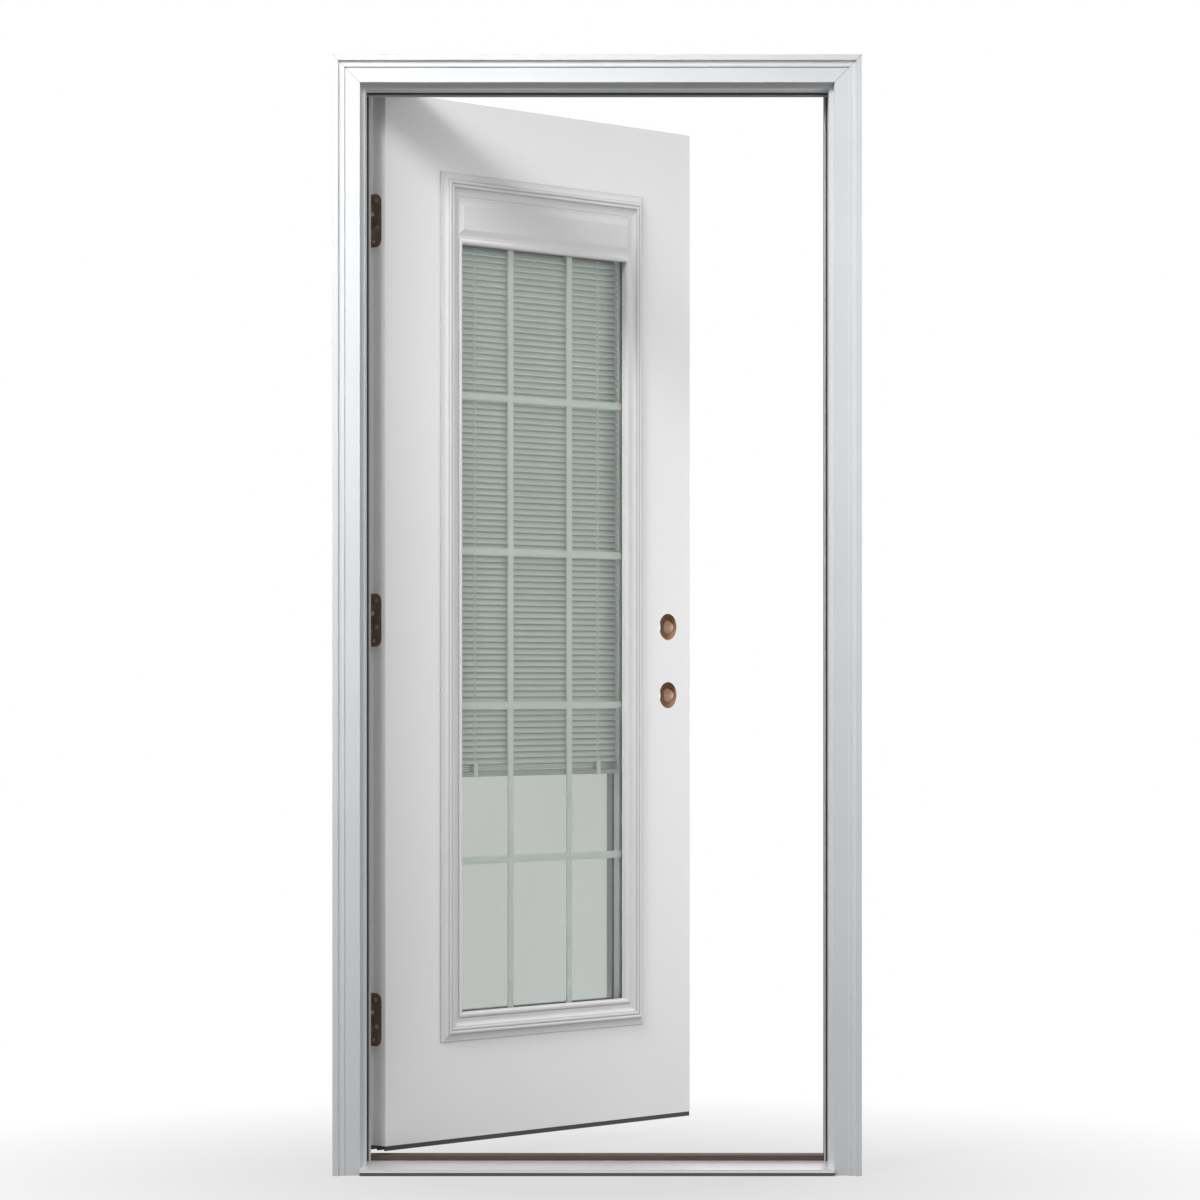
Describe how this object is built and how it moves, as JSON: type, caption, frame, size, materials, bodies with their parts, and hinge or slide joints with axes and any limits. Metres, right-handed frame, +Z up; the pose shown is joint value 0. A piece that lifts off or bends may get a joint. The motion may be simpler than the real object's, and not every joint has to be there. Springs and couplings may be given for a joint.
{
  "type": "glazed steel door",
  "caption": "Prehung inward-opening steel entrance door with a tall glass lite, a blind and grille between its panes, and a cased timber frame on a sill.",
  "frame": {"origin": "on the sill's flat underside, midway between the jambs, in the plane of the wall's outer face", "axes": "+X along the wall from the hinge side to the strike side, +Y from outdoors to indoors, +Z up"},
  "size_m": [0.9926, 0.8144, 2.1028],
  "materials": {
    "white_wood": "white primed and painted timber",
    "white_steel": "smooth white primed steel",
    "moulded_plastic": "warm white moulded plastic",
    "bare_wood": "bare timber",
    "foam": "foam",
    "clear_glass": "clear glass with a faint green tint",
    "spacer_metal": "satin",
    "white_bar": "white enamel",
    "blind_white": "white enamel on thin aluminium",
    "blind_cord": "white braided cord",
    "dark_bronze": "oil-rubbed bronze",
    "seal_rubber": "black seal",
    "sweep_vinyl": "dark grey vinyl",
    "sill_composite": "dark composite",
    "mill_aluminium": "mill finish",
    "brown_composite": "brown composite"
  },
  "bodies": {
    "frame": {"sill_base": "sill_composite", "sill_deck": "mill_aluminium", "threshold_cap": "brown_composite", "hinge_jamb": "white_wood", "strike_jamb": "white_wood", "head_jamb": "white_wood", "brickmould_hinge_side": "white_wood", "brickmould_strike_side": "white_wood", "brickmould_head": "white_wood", "weatherstrip_hinge_side": "seal_rubber", "weatherstrip_strike_side": "seal_rubber", "weatherstrip_head": "seal_rubber", "jamb_hinge_leaf_top": "dark_bronze", "hinge_pin_top": "dark_bronze", "jamb_hinge_leaf_middle": "dark_bronze", "hinge_pin_middle": "dark_bronze", "jamb_hinge_leaf_bottom": "dark_bronze", "hinge_pin_bottom": "dark_bronze"},
    "leaf": {"steel_skin_exterior": "white_steel", "steel_skin_interior": "white_steel", "hinge_stile": "white_wood", "lock_stile": "white_wood", "lock_block": "bare_wood", "bottom_rail": "bare_wood", "top_rail": "bare_wood", "foam_core": "foam", "lite_frame_exterior": "moulded_plastic", "lite_frame_interior": "moulded_plastic", "header_cover_exterior": "moulded_plastic", "header_cover_interior": "moulded_plastic", "glass_outer": "clear_glass", "glass_inner": "clear_glass", "glass_spacer": "spacer_metal", "grille": "white_bar", "blind_headrail": "blind_white", "blind_slats": "blind_white", "blind_bottom_rail": "blind_white", "blind_ladder_cords": "blind_cord", "blind_operator_track": "moulded_plastic", "blind_operator_slider": "moulded_plastic", "door_sweep": "sweep_vinyl", "door_hinge_leaf_top": "dark_bronze", "door_hinge_leaf_middle": "dark_bronze", "door_hinge_leaf_bottom": "dark_bronze"}
  },
  "joints": [
    {"name": "door_hinge", "type": "hinge", "parent": "frame", "child": "leaf", "pos_m": [-0.447, 0.1286, 1], "axis": [0, 0, 1], "range_deg": [-48, 117]}
  ]
}
